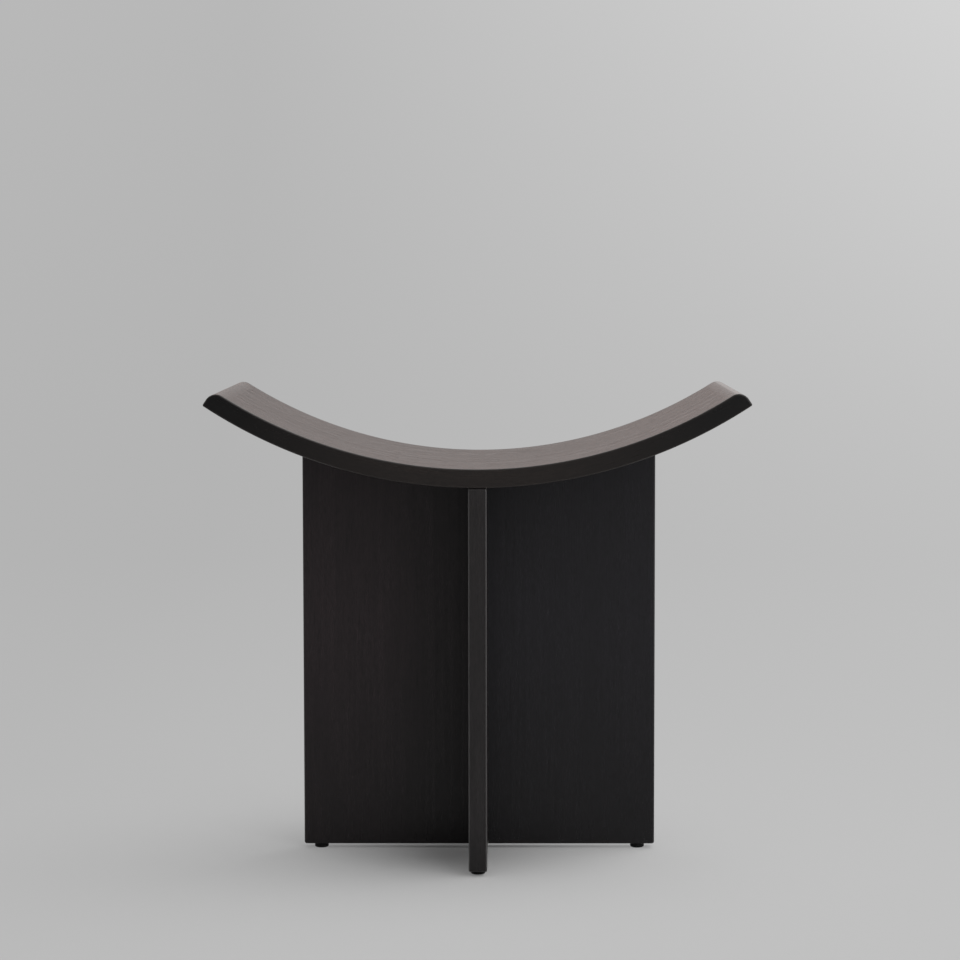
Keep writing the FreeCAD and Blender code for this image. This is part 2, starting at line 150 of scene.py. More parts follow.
def plywood(name, lay):
    """Pale plies that run along and across in turn, with a dark glue line between them."""
    finish, tree, shader = new_finish(name)
    flow = lay(tree)
    level = calculated(tree, "DIVIDE", axes_of(tree, flow)["Z"], PLY_THICKNESS)
    turn = calculated(tree, "PINGPONG", calculated(tree, "FLOOR", level), 1.0)
    glue = ranged(tree, calculated(tree, "PINGPONG", level, 0.5), 0.0, GLUE_SHARE, 1.0, 0.0)
    fibre = streaked(tree, flow, FIBRE, seed=3.0, detail=2.0)
    ply = blended(tree, turn, BIRCH_ALONG, BIRCH_ACROSS)
    grained = blended(tree, ranged(tree, fibre, *NOISE_LIMITS, 0.0, FIBRE_INK), ply, BIRCH_FIBRE)
    tree.links.new(blended(tree, glue, grained, GLUE_BROWN), shader.inputs["Base Color"])
    tree.links.new(ranged(tree, fibre, *NOISE_LIMITS, *BIRCH_ROUGHNESS), shader.inputs["Roughness"])
    return finish


def finish_node(name, finish):
    """Give a CAD solid that stays its finish."""
    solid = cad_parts[name]
    solid.data.materials.clear()
    solid.data.materials.append(finish)


upright = straight_grain("Z", "X", "Y")
upright_crosswise = straight_grain("Z", "Y", "X")
finish_node("seat_core", plywood("moulded_plywood", bent_grain))
finish_node("wide_panel_core", plywood("wide_panel_plywood", upright))
finish_node("cross_panel_core", plywood("cross_panel_plywood", upright_crosswise))


# Dowels: six plain beech dowels, glued upright into the panels' top edges and the seat's underside.
# They are hidden once the stool is glued up, so the CAD solids stay and take this finish.
FLECK = (0.003, 0.0005)
FLECK_LIMITS = (0.58, 0.70)
FLECK_INK = 0.6
FLECK_BROWN = (0.24, 0.12, 0.06, 1)
BEECH_GROWTH = (0.060, 0.0020)
BEECH_PALE = (0.56, 0.36, 0.22, 1)
BEECH_DEEP = (0.44, 0.26, 0.15, 1)
BEECH_ROUGHNESS = (0.50, 0.62)

beech, tree, shader = new_finish("beech")
flow = upright(tree)
fleck = ranged(tree, streaked(tree, flow, FLECK, seed=5.0), *FLECK_LIMITS, 0.0, FLECK_INK)
growth = ranged(tree, streaked(tree, flow, BEECH_GROWTH, seed=8.0, detail=1.0), *NOISE_LIMITS)
pale = blended(tree, growth, BEECH_PALE, BEECH_DEEP)
tree.links.new(blended(tree, fleck, pale, FLECK_BROWN), shader.inputs["Base Color"])
tree.links.new(ranged(tree, growth, 0.0, 1.0, *BEECH_ROUGHNESS), shader.inputs["Roughness"])
for name in ("wide_panel_dowels", "cross_panel_dowels"):
    finish_node(name, beech)


# Seat: a board of veneered plywood bent to one arc, with a solid oak nosing on each end, rounded over
# at the top, and an oak lipping on each long edge. All of it has a black-brown stain and satin lacquer.
SEAT_LENGTH = 0.558
VENEER = 0.0006
NOSE_RADIUS = 0.012
TIP_RADIUS = 0.0017
NOSING_WIDTH = 0.024
ARRIS_RADIUS = 0.0016
ARRIS_STEPS = 6
SEAT_STEPS = 60
ROUND_STEPS = 24
SHARP_ANGLE = math.radians(50)
MERGE_DISTANCE = 1e-7
WIDE_DOWELS = (0.062, 0.148)
CROSS_DOWEL = 0.084
DOWEL_BORE = 0.0041
BORING_SIDES = 32
# A stain has three colours: in its dark grain, in its light grain, and on a rounded arris, partly wear and
# partly a painted highlight.
BLACK_BROWN = ((0.0105, 0.0078, 0.0072, 1), (0.0235, 0.0170, 0.0152, 1), (0.0450, 0.0410, 0.0395, 1))
LIPPING_BROWN = ((0.0116, 0.0088, 0.0078, 1), (0.0250, 0.0194, 0.0172, 1), (0.0300, 0.0250, 0.0230, 1))
# Black of the open pores, and the black that painted shade and dark ends darken towards.
PORE_AND_SHADE_BLACK = (0.0030, 0.0024, 0.0024, 1)
# The lippings darken towards black between these two distances from the seat's middle.
LIPPING_ENDS = (0.07, 0.25)
# Painted shade: the first leaf of veneer darkens towards the middle of its panel, where the cross panel
# shades it.
CROSS_SHADE_WIDTH = 0.10
CROSS_SHADE_DEPTH = 0.7
# Earlywood in oak cut near the quarter.
BAND = (0.70, 0.0032)
BAND_LIMITS = (0.42, 0.58)
BAND_DEPTH = 0.6
# Earlywood in flat-sawn oak.
LEAF_WIDTH = 0.155
HEART_DEPTH = 0.016
TRUNK_TAPER = 0.035
RING_WIDTH = 0.0034
EARLYWOOD_SHARE = 0.5
WANDER = (0.10, 0.025)
WANDER_REACH = 0.022
# Grain of any oak, and how strongly it is marked.
DRIFT = (0.25, 0.030)
DRIFT_REACH = 0.006
PATCH = (0.14, 0.024)
PATCH_TONE = 0.45
STREAK = (0.022, 0.0011)
STREAK_TONE = 0.45
EARLYWOOD_TONE = -0.20
TONE_LIMITS = (0.17, 0.53)
PORE = (0.0075, 0.00038)
PORE_LIMITS = (0.55, 0.69)
EARLYWOOD_PORES = 0.10
PORE_INK = 0.75
DASH = (0.026, 0.0015)
DASH_LIMITS = (0.70, 0.78)
DASH_INK = 0.6
PLAIN_FIGURE = 0.5
SITTING_FIGURE = 0.75
RELIEF = 0.12
PORE_DEPTH = 0.0001
EARLYWOOD_DEPTH = 0.25
# Satin lacquer, duller in open grain, and polished by use at the seat's raised ends.
LACQUER_GLOSS = 0.27
LACQUER_ROUGHNESS = (0.33, 0.26)
EARLYWOOD_ROUGHNESS = 0.07
PORE_ROUGHNESS = 0.12
DASH_ROUGHNESS = 0.10
POLISHED_DEPTH = 0.0065
LEFT_POLISH = 0.35
RIGHT_POLISH = 0.65
SHEEN = 0.175
SHEEN_ROUGHNESS = 0.45
SHEEN_TINT = (1.0, 0.62, 0.52, 1)

seat_front, board_front = (corner.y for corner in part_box("seat_front_lipping"))
board_rear, seat_rear = (corner.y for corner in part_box("seat_rear_lipping"))
seat_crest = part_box("seat_right_nosing")[1].z
end_angle = math.asin(SEAT_LENGTH / 2 / under_radius)
nosing_start = (end_angle - NOSING_WIDTH / under_radius) * SITTING_RADIUS


def quarter_rings(tree, flow, seed):
    """Earlywood of oak cut near the quarter: narrow bands that run the whole length."""
    return ranged(tree, streaked(tree, flow, BAND, seed, detail=1.0), *BAND_LIMITS, BAND_DEPTH, 0.0)


def flame_rings(tree, flow, seed):
    """Earlywood of flat-sawn leaves laid side by side: a tapering trunk's rings, cut close to its heart."""
    axes = axes_of(tree, flow)
    half_leaf = LEAF_WIDTH / 2
    from_heart = calculated(tree, "PINGPONG", calculated(tree, "ADD", axes["Y"], half_leaf), half_leaf)
    square = calculated(tree, "MULTIPLY_ADD", from_heart, from_heart, HEART_DEPTH ** 2)
    radius = calculated(tree, "MULTIPLY_ADD", axes["X"], TRUNK_TAPER, calculated(tree, "SQRT", square))
    wander = streaked(tree, flow, WANDER, seed, detail=2.0)
    radius = calculated(tree, "MULTIPLY_ADD", wander, WANDER_REACH, radius)
    phase = calculated(tree, "FRACT", calculated(tree, "DIVIDE", radius, RING_WIDTH))
    return ranged(tree, phase, 0.0, EARLYWOOD_SHARE, 1.0, 0.0)


def oak_grain(tree, flow, rings, seed):
    """Earlywood, tone, open pores and dark dashes of a board whose grain drifts a little."""
    drift = ranged(tree, streaked(tree, flow, DRIFT, seed, detail=1.0), 0.0, 1.0, -DRIFT_REACH, DRIFT_REACH)
    drifted = {0: flow, 1: vector_of(tree, y=drift, z=drift)}
    wavy = node(tree, "ShaderNodeVectorMath", drifted, operation="ADD").outputs["Vector"]
    patch = streaked(tree, wavy, PATCH, seed + 1, detail=2.0)
    early = rings(tree, wavy, seed + 2)
    streak = streaked(tree, wavy, STREAK, seed + 3, detail=1.0)
    tone = calculated(tree, "MULTIPLY", patch, PATCH_TONE)
    tone = calculated(tree, "MULTIPLY_ADD", streak, STREAK_TONE, tone)
    tone = calculated(tree, "MULTIPLY_ADD", early, EARLYWOOD_TONE, tone)
    crowd = calculated(tree, "MULTIPLY_ADD", early, EARLYWOOD_PORES, streaked(tree, wavy, PORE, seed + 4))
    pore = ranged(tree, crowd, *PORE_LIMITS)
    dash = ranged(tree, streaked(tree, wavy, DASH, seed + 5), *DASH_LIMITS)
    return early, tone, pore, dash


def stained_oak(
    name, lay, seed, stain=BLACK_BROWN, rings=quarter_rings, figure=PLAIN_FIGURE, second_leaf=None,
    dark_ends=None, polish=None,
):
    """Open-pored oak under stain and lacquer. A second leaf of veneer, past the middle, has its own stain,
    and the first darkens towards the middle as painted shade. Dark ends are two distances along the grain
    between which the colour darkens towards black, as painted shade at a panel's foot. A polish is the share
    of its roughness that the sitting face loses at its raised ends."""
    finish, tree, shader = new_finish(name)
    flow = lay(tree)
    early, tone, pore, dash = oak_grain(tree, flow, rings, seed)

    dark, light, wear_and_highlight = stain
    if second_leaf:
        across = axes_of(tree, flow)["Y"]
        # Painted shade: the first leaf darkens towards the middle, where the cross panel stands.
        cross_shade = ranged(tree, across, -CROSS_SHADE_WIDTH, 0.0, 0.0, CROSS_SHADE_DEPTH)
        leaf = calculated(tree, "GREATER_THAN", across, 0.0)
        dark = blended(tree, leaf, blended(tree, cross_shade, dark, PORE_AND_SHADE_BLACK), second_leaf[0])
        light = blended(tree, leaf, blended(tree, cross_shade, light, PORE_AND_SHADE_BLACK), second_leaf[1])
    lightness = ranged(tree, tone, *TONE_LIMITS, 0.5 - figure / 2, 0.5 + figure / 2)
    colour = blended(tree, lightness, dark, light)
    if dark_ends:
        # Darker towards the ends along the grain: painted shade at the panels' feet.
        along = calculated(tree, "ABSOLUTE", axes_of(tree, flow)["X"])
        colour = blended(tree, ranged(tree, along, *dark_ends), colour, PORE_AND_SHADE_BLACK)
    # Rounded arrises turn to the stain's third colour: partly wear, partly a painted highlight.
    worn_and_highlit = node(tree, "ShaderNodeAttribute", attribute_name="wear_and_highlight").outputs["Fac"]
    colour = blended(tree, worn_and_highlit, colour, wear_and_highlight)
    for open_grain, ink in ((dash, DASH_INK), (pore, PORE_INK)):
        colour = blended(tree, calculated(tree, "MULTIPLY", open_grain, ink * figure), colour, PORE_AND_SHADE_BLACK)
    tree.links.new(colour, shader.inputs["Base Color"])

    rough = ranged(tree, tone, *TONE_LIMITS, *LACQUER_ROUGHNESS)
    for open_grain, added in ((early, EARLYWOOD_ROUGHNESS), (pore, PORE_ROUGHNESS), (dash, DASH_ROUGHNESS)):
        rough = calculated(tree, "MULTIPLY_ADD", open_grain, added * figure, rough)
    if polish:
        height = axes_of(tree, place_of(tree))["Z"]
        left_rough = ranged(tree, height, seat_crest - POLISHED_DEPTH, seat_crest, 1.0, 1.0 - polish)
        rough = calculated(tree, "MULTIPLY", rough, left_rough)
        shader.inputs["Sheen Weight"].default_value = SHEEN
        shader.inputs["Sheen Roughness"].default_value = SHEEN_ROUGHNESS
        shader.inputs["Sheen Tint"].default_value = SHEEN_TINT
    tree.links.new(rough, shader.inputs["Roughness"])
    shader.inputs["Specular IOR Level"].default_value = LACQUER_GLOSS

    shallow = calculated(tree, "MULTIPLY", early, -EARLYWOOD_DEPTH)
    relief = calculated(tree, "MULTIPLY_ADD", pore, -1.0, shallow)
    surface = {"Strength": RELIEF * figure, "Distance": PORE_DEPTH, "Height": relief}
    bump = node(tree, "ShaderNodeBump", surface)
    tree.links.new(bump.outputs["Normal"], shader.inputs["Normal"])
    return finish


def spaced(start, stop, steps):
    """Values from one number to another in even steps, both ends included."""
    return [start + (stop - start) * i / steps for i in range(steps + 1)]


def end_round(face, inside, radius, inset=0.0, start=0.0, stop=None):
    """Points of the round between a face of the bent board and its end, laid flat, from the face outwards.
    The face is an arc, inside says on which side of it the wood lies, and depths below it bound the round."""
    reach = face + inside * radius
    centre = Vector((math.sqrt(reach ** 2 - radius ** 2), -radius))
    to_face = -inside * centre.normalized()
    to_end = (Vector((0, 1)) - to_face * to_face.y).normalized()

    def turn_at(depth):
        level = face + inside * depth
        return math.acos(inside * (reach ** 2 + radius ** 2 - level ** 2) / (2 * radius * reach))

    first = turn_at(start) if start else 0.0
    last = turn_at(stop) if stop else to_face.angle(Vector((0, 1)))
    points = []
    for turn in spaced(first, last, ROUND_STEPS):
        spot = centre + (radius - inset) * (to_face * math.cos(turn) + to_end * math.sin(turn))
        angle = end_angle + math.atan2(spot.y, spot.x)
        points.append((angle * SITTING_RADIUS, SITTING_RADIUS - spot.length))
    return points


def run_to(points, level=None):
    """A run over the flat board from its middle and along the round at its right end, mirrored to the left.
    Its height is the round's own, or one level all the way."""
    end, face = points[0]
    half = [(along, face) for along in spaced(0.0, end, SEAT_STEPS)[:-1]] + points
    if level is not None:
        half = [(along, level) for along, height in half]
    return [(-along, height) for along, height in reversed(half[1:])] + half


def plain_slices(rows, near, far):
    """The two faces of a board with square edges."""
    return [(near, rows, 0.0), (far, rows, 0.0)]


def eased_slices(rows_at, near, far, both=True):
    """Slices through a board's thickness, drawn in round the near arris, or round both arrises. The third
    colour of the stain, partly wear and partly a painted highlight, is strongest at the middle of a round."""
    inward = math.copysign(1, far - near)
    quarter = []
    for turn in spaced(0.0, math.pi / 2, ARRIS_STEPS):
        depth, inset = ARRIS_RADIUS * (1 - math.cos(turn)), ARRIS_RADIUS * (1 - math.sin(turn))
        quarter.append((inward * depth, rows_at(inset), math.sin(2 * turn)))
    slices = [(near + depth, rows, wear_and_highlight) for depth, rows, wear_and_highlight in quarter]
    if both:
        slices += [(far - depth, rows, wear_and_highlight) for depth, rows, wear_and_highlight in reversed(quarter)]
    else:
        slices.append((far, rows_at(0.0), 0.0))
    return slices


def lengthwise(along, depth, up):
    """A board that runs side to side, with its thickness front to back."""
    return (along, depth, up)


def merge_doubles(made):
    """Join points that fall together, and drop the edges and faces that close up."""
    bmesh.ops.remove_doubles(made, verts=made.verts, dist=MERGE_DISTANCE)
    bmesh.ops.dissolve_degenerate(made, edges=made.edges, dist=MERGE_DISTANCE)


def board(slices, spot=lengthwise, missing=()):
    """A closed board through slices of rows of points in elevation, without the missing cells."""
    made = bmesh.new()
    worn_and_highlit = made.verts.layers.float.new("wear_and_highlight")
    layers = []
    for depth, rows, wear_and_highlight in slices:
        layer = [[made.verts.new(spot(along, depth, up)) for along, up in row] for row in rows]
        for row in layer:
            for vert in row:
                vert[worn_and_highlit] = wear_and_highlight
        layers.append(layer)
    high, wide = len(layers[0]) - 1, len(layers[0][0]) - 1
    cells = {(j, i) for j in range(high) for i in range(wide)} - set(missing)
    for j, i in sorted(cells):
        corners = ((j, i), (j, i + 1), (j + 1, i + 1), (j + 1, i))
        for layer in (layers[0], layers[-1]):
            made.faces.new([layer[row][column] for row, column in corners])
        beyond = ((j - 1, i), (j, i + 1), (j + 1, i), (j, i - 1))
        for k, neighbour in enumerate(beyond):
            if neighbour in cells:
                continue
            (a, b), (c, d) = corners[k], corners[(k + 1) % 4]
            for near, far in zip(layers, layers[1:]):
                made.faces.new((near[a][b], near[c][d], far[c][d], far[a][b]))
    bmesh.ops.delete(made, geom=[vert for vert in made.verts if not vert.link_faces], context="VERTS")
    merge_doubles(made)
    bmesh.ops.recalc_face_normals(made, faces=made.faces)
    return made


def blank_object(made, name):
    """An object of a blank, its rounds smooth and its sharp edges kept."""
    for edge in made.edges:
        edge.smooth = edge.calc_face_angle(0.0) < SHARP_ANGLE
    for face in made.faces:
        face.smooth = True
    mesh = bpy.data.meshes.new(name)
    made.to_mesh(mesh)
    made.free()
    rough = bpy.data.objects.new(name, mesh)
    bpy.context.scene.collection.objects.link(rough)
    return rough


def new_tree(name, inputs, output):
    """A Geometry Nodes tree with its named inputs, its one output and the node that gives the inputs."""
    tree = bpy.data.node_groups.new(name, "GeometryNodeTree")
    for label, kind in inputs.items():
        tree.interface.new_socket(label, in_out="INPUT", socket_type=f"NodeSocket{kind}")
    tree.interface.new_socket(output, in_out="OUTPUT", socket_type="NodeSocketGeometry")
    return tree, node(tree, "NodeGroupInput").outputs


def end_tree(tree, shape, finish):
    """Close a tree: its instances made real and given their finish."""
    real = node(tree, "GeometryNodeRealizeInstances", {"Geometry": shape}).outputs[0]
    painted = node(tree, "GeometryNodeSetMaterial", {"Geometry": real, "Material": finish}).outputs[0]
    node(tree, "NodeGroupOutput", {0: painted})


def press_tree():
    """Bends a flat board round a former: its x becomes an arc, its top face the sitting radius."""
    inputs = {"Board": "Geometry", "Sitting Radius": "Float", "Arc Centre": "Float", "Finish": "Material"}
    tree, given = new_tree("press_to_former", inputs, "Pressed")
    flat = axes_of(tree, node(tree, "GeometryNodeInputPosition").outputs["Position"])
    angle = calculated(tree, "DIVIDE", flat["X"], given["Sitting Radius"])
    reach = calculated(tree, "SUBTRACT", given["Sitting Radius"], flat["Z"])
    across = calculated(tree, "MULTIPLY", reach, calculated(tree, "SINE", angle))
    drop = calculated(tree, "MULTIPLY", reach, calculated(tree, "COSINE", angle))
    rise = calculated(tree, "SUBTRACT", given["Arc Centre"], drop)
    bent = vector_of(tree, across, flat["Y"], rise)
    moved = node(tree, "GeometryNodeSetPosition", {"Geometry": given["Board"], "Position": bent}).outputs[0]
    end_tree(tree, moved, given["Finish"])
    return tree


def tree_modifier(blank, tree, **values):
    """Add a tree to an object, with its inputs set by name."""
    modifier = blank.modifiers.new(tree.name, "NODES")
    modifier.node_group = tree
    named = {item.name: item.identifier for item in tree.interface.items_tree if item.in_out == "INPUT"}
    for name, value in values.items():
        modifier[named[name.replace("_", " ")]] = value


def made_plain(blank, name):
    """The object with all its modifiers worked into a plain mesh."""
    bpy.context.view_layer.update()
    graph = bpy.context.evaluated_depsgraph_get()
    mesh = bpy.data.meshes.new_from_object(
        blank.evaluated_get(graph), preserve_all_data_layers=True, depsgraph=graph
    )
    mesh.name = name
    rough = blank.data
    bpy.data.objects.remove(blank)
    bpy.data.meshes.remove(rough)
    plain = bpy.data.objects.new(name, mesh)
    bpy.context.scene.collection.objects.link(plain)
    return plain


def borings(spots, radius, low, high):
    """Upright round borings at pairs of x and y, as one cutter."""
    cutter = bmesh.new()
    for x, y in spots:
        bmesh.ops.create_cone(
            cutter, cap_ends=True, segments=BORING_SIDES, radius1=radius, radius2=radius,
            depth=high - low, matrix=Matrix.Translation((x, y, (low + high) / 2)),
        )
    mesh = bpy.data.meshes.new("borings")
    cutter.to_mesh(mesh)
    cutter.free()
    return bpy.data.objects.new("borings", mesh)


def oak_piece(node_name, blank, finish, press=None, cutter=None):
    """Finish a board as a piece that stands for a CAD solid: bend it, bore it and smooth its rounds."""
    rough = blank_object(blank, node_name)
    rough.data.materials.append(finish)
    if press is not None:
        tree_modifier(rough, press, Sitting_Radius=SITTING_RADIUS, Arc_Centre=arc_centre, Finish=finish)
    if cutter is not None:
        bpy.context.scene.collection.objects.link(cutter)
        drill = rough.modifiers.new("borings", "BOOLEAN")
        drill.operation = "DIFFERENCE"
        drill.object = cutter
    smooth = rough.modifiers.new("smooth", "WEIGHTED_NORMAL")
    smooth.keep_sharp = True
    piece = made_plain(rough, f"{node_name}_oak")
    if cutter is not None:
        bpy.data.objects.remove(cutter)
    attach(piece, "root")
    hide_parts(node_name)


def end_grain(tree):
    """The grain of the nosings, which runs front to back."""
    return bent_grain(tree, crosswise=True)


press = press_tree()
glue_top = -VENEER
glue_under = VENEER - SEAT_THICKNESS
seat_veneer_oak = stained_oak(
    "seat_veneer_oak", bent_grain, seed=11.0, rings=flame_rings, figure=SITTING_FIGURE, polish=LEFT_POLISH
)
nose_face = end_round(SITTING_RADIUS, 1, NOSE_RADIUS, stop=VENEER)
top_rows = (run_to(nose_face, level=glue_top), run_to(nose_face))
oak_piece("seat_top_veneer", board(plain_slices(top_rows, board_front, board_rear)), seat_veneer_oak, press)

tip_face = end_round(under_radius, -1, TIP_RADIUS, stop=VENEER)
under_rows = (run_to(tip_face), run_to(tip_face, level=glue_under))
dowel_spots = [(side * offset, 0.0) for offset in WIDE_DOWELS for side in (-1, 1)]
dowel_spots += [(0.0, side * CROSS_DOWEL) for side in (-1, 1)]
oak_piece(
    "seat_underside_veneer", board(plain_slices(under_rows, board_front, board_rear)), seat_veneer_oak, press,
    cutter=borings(dowel_spots, DOWEL_BORE, 0.0, arc_centre),
)

nosing_rows = (
    [(nosing_start, glue_under)] + end_round(under_radius, -1, TIP_RADIUS, start=VENEER),
    [(nosing_start, glue_top)] + end_round(SITTING_RADIUS, 1, NOSE_RADIUS, start=VENEER),
)
for side, turn, polish in (("left", -1, LEFT_POLISH), ("right", 1, RIGHT_POLISH)):
    rows = [[(turn * along, height) for along, height in row] for row in nosing_rows]
    nosing_oak = stained_oak(f"{side}_nosing_oak", end_grain, seed=37.0, polish=polish)
    oak_piece(f"seat_{side}_nosing", board(plain_slices(rows, board_front, board_rear)), nosing_oak, press)


def seat_elevation(inset):
    """The whole seat's outline laid flat, from its underside to its sitting face."""
    under = end_round(under_radius, -1, TIP_RADIUS, inset)
    return run_to(under), run_to(end_round(SITTING_RADIUS, 1, NOSE_RADIUS, inset))


seat_lipping_oak = stained_oak(
    "seat_lipping_oak", bent_grain, seed=23.0, stain=LIPPING_BROWN, dark_ends=LIPPING_ENDS
)
for side, outer, inner in (("front", seat_front, board_front), ("rear", seat_rear, board_rear)):
    strip = board(eased_slices(seat_elevation, outer, inner, both=False))
    oak_piece(f"seat_{side}_lipping", strip, seat_lipping_oak, press)


# Wide panel: upright plywood side to side, coped to the seat's arc and slotted from below for the lap.
# Two leaves of oak veneer meet in the middle of its front, and solid oak strips lip its edges.
CORNER_RADIUS = 0.0025
CORNER_STEPS = 8
COPE_STEPS = 48
LAP_HEIGHT = 0.200
LAP_GAP = 0.0001
PIN_BORE = 0.00125
# Points on a strip's glued side lie this close together, opposite the points of its rounds.
GLUED_SPACING = 0.00005
WARM_LEAF = ((0.0150, 0.0105, 0.0118, 1), (0.0325, 0.0225, 0.0250, 1), (0.0450, 0.0410, 0.0395, 1))
COOL_LEAF = ((0.0095, 0.0088, 0.0108, 1), (0.0180, 0.0165, 0.0205, 1), (0.0400, 0.0390, 0.0400, 1))
# The strips under the panels are nearly black: painted shade along the floor.
FOOT_SHADE_BLACK = ((0.0060, 0.0050, 0.0052, 1), (0.0120, 0.0100, 0.0104, 1), (0.0150, 0.0130, 0.0135, 1))
# Painted shade: the colour darkens towards black between these heights, down to the floor. The second is
# below the floor, so the foot isn't quite black.
PAINTED_FOOT_SHADE = (0.24, -0.10)

wide_left, board_left = (corner.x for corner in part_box("wide_panel_left_lipping"))
board_right, wide_right = (corner.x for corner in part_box("wide_panel_right_lipping"))
wide_front, wide_rear = (corner.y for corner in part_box("wide_panel_left_lipping"))
cross_left, cross_right = (corner.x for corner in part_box("cross_panel_front_lipping"))
slot_left, slot_right = cross_left - LAP_GAP, cross_right + LAP_GAP
panel_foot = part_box("wide_panel_left_lipping")[0].z
board_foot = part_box("wide_panel_front_veneer")[0].z
pin_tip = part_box("glide_pins")[1].z
side_spread = sum(corner.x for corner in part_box("right_glide")) / 2


def cope(x):
    """The height at which the wide panel meets the seat's underside."""
    return arc_centre - math.sqrt(under_radius ** 2 - x ** 2)


def quarter_round(corner, across, up, radius, inset):
    """Points round a corner from its upright side to its level side, for an outline drawn in by an inset."""
    centre = Vector(corner) + radius * Vector((across, up))
    reach = radius - inset
    points = []
    for turn in spaced(0.0, math.pi / 2, CORNER_STEPS):
        points.append((centre.x - across * reach * math.cos(turn), centre.y - up * reach * math.sin(turn)))
    return points


def upright_lipping(outer, inner, top_at, top_round=None):
    """Rows of an edge strip for an inset: an outer run down to the round foot corner, and a glued run."""
    inward = math.copysign(1, inner - outer)

    def rows_at(inset):
        foot = quarter_round((outer, panel_foot), inward, 1, CORNER_RADIUS, inset)
        if top_round:
            head = list(reversed(quarter_round((outer, top_at(outer)), inward, -1, top_round, inset)))
        else:
            head = [(outer + inward * inset, top_at(outer + inward * inset))]
        outer_run = head + foot + [(inner, panel_foot + inset)]
        foot_start = panel_foot + 2 * CORNER_RADIUS
        glued_run = [(inner, top_at(inner) - GLUED_SPACING * i) for i in range(len(head))]
        glued_run += [(inner, foot_start - GLUED_SPACING * i) for i in range(len(foot) + 1)]
        return outer_run, glued_run
    return rows_at


columns = spaced(board_left, slot_left, COPE_STEPS) + spaced(slot_right, board_right, COPE_STEPS)
face_rows = (
    [(x, board_foot) for x in columns],
    [(x, LAP_HEIGHT) for x in columns],
    [(x, cope(x)) for x in columns],
)
front_leaves = stained_oak(
    "wide_front_oak", upright, seed=41.0, stain=WARM_LEAF, second_leaf=COOL_LEAF, dark_ends=PAINTED_FOOT_SHADE
)
rear_leaves = stained_oak("wide_rear_oak", upright, seed=53.0)
for side, outer, inner, finish in (
    ("front", wide_front, wide_front + VENEER, front_leaves),
    ("rear", wide_rear, wide_rear - VENEER, rear_leaves),
):
    leaf = board(plain_slices(face_rows, outer, inner), missing=[(0, COPE_STEPS)])
    oak_piece(f"wide_panel_{side}_veneer", leaf, finish)

for side, outer, inner, stain in (
    ("left", wide_left, board_left, WARM_LEAF),
    ("right", wide_right, board_right, COOL_LEAF),
):
    edge_oak = stained_oak(f"wide_{side}_edge_oak", upright, seed=61.0, stain=stain, dark_ends=PAINTED_FOOT_SHADE)
    strip = board(eased_slices(upright_lipping(outer, inner, cope), wide_front, wide_rear))
    oak_piece(f"wide_panel_{side}_lipping", strip, edge_oak)


def foot_lipping(start, stop):
    """Rows of a straight strip under a panel, for an inset of its bottom edge."""
    def rows_at(inset):
        return [[(along, height) for along in (start, stop)] for height in (panel_foot + inset, board_foot)]
    return rows_at


foot_oak = stained_oak("wide_foot_oak", straight_grain("X", "Y", "Z"), seed=67.0, stain=FOOT_SHADE_BLACK)
for side, start, stop, turn in (("left", board_left, slot_left, -1), ("right", slot_right, board_right, 1)):
    strip = board(eased_slices(foot_lipping(start, stop), wide_front, wide_rear))
    pin_hole = borings([(turn * side_spread, 0.0)], PIN_BORE, 0.0, pin_tip)
    oak_piece(f"wide_panel_{side}_bottom_lipping", strip, foot_oak, cutter=pin_hole)


# Cross panel: upright plywood front to back, flush with the seat's edges and slotted from above, so
# that it slides up over the wide panel. Veneered on both faces, with oak strips on its edges.
TOP_ROUND = 0.0030
# The cross panel's lippings: their bright third colour on the rounded arrises is mostly a painted highlight.
CROSS_GREY = ((0.0125, 0.0110, 0.0112, 1), (0.0265, 0.0232, 0.0236, 1), (0.0800, 0.0765, 0.0760, 1))
# Painted shade: the cross panel's lippings darken towards black between these heights, down to the floor.
CROSS_FOOT_SHADE = (0.06, -0.06)

cross_front, cross_board_front = (corner.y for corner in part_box("cross_panel_front_lipping"))
cross_board_rear, cross_rear = (corner.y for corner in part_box("cross_panel_rear_lipping"))
cross_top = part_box("cross_panel_left_veneer")[1].z
slot_front, slot_rear = wide_front - LAP_GAP, wide_rear + LAP_GAP
front_spread = sum(corner.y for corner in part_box("rear_glide")) / 2


def sideways(along, depth, up):
    """A board that runs front to back, with its thickness side to side."""
    return (depth, along, up)


cross_columns = (cross_board_front, slot_front, slot_rear, cross_board_rear)
cross_rows = [[(y, level) for y in cross_columns] for level in (board_foot, LAP_HEIGHT, cross_top)]
cross_oak = stained_oak("cross_face_oak", upright_crosswise, seed=71.0)
for side, outer, inner in (
    ("left", cross_left, cross_left + VENEER),
    ("right", cross_right, cross_right - VENEER),
):
    leaf = board(plain_slices(cross_rows, outer, inner), sideways, missing=[(1, 1)])
    oak_piece(f"cross_panel_{side}_veneer", leaf, cross_oak)

cross_lipping_oak = stained_oak(
    "cross_lipping_oak", upright, seed=83.0, stain=CROSS_GREY, dark_ends=CROSS_FOOT_SHADE
)
for side, outer, inner in (("front", cross_front, cross_board_front), ("rear", cross_rear, cross_board_rear)):
    rows_at = upright_lipping(outer, inner, lambda y: cross_top, top_round=TOP_ROUND)
    strip = board(eased_slices(rows_at, cross_left, cross_right), sideways)
    oak_piece(f"cross_panel_{side}_lipping", strip, cross_lipping_oak)

cross_foot_oak = stained_oak("cross_foot_oak", straight_grain("Y", "X", "Z"), seed=89.0, stain=FOOT_SHADE_BLACK)
rows_at = foot_lipping(cross_board_front, cross_board_rear)
strip = board(eased_slices(rows_at, cross_left, cross_right), sideways)
pin_holes = borings([(0.0, -front_spread), (0.0, front_spread)], PIN_BORE, 0.0, pin_tip)
oak_piece("cross_panel_bottom_lipping", strip, cross_foot_oak, cutter=pin_holes)


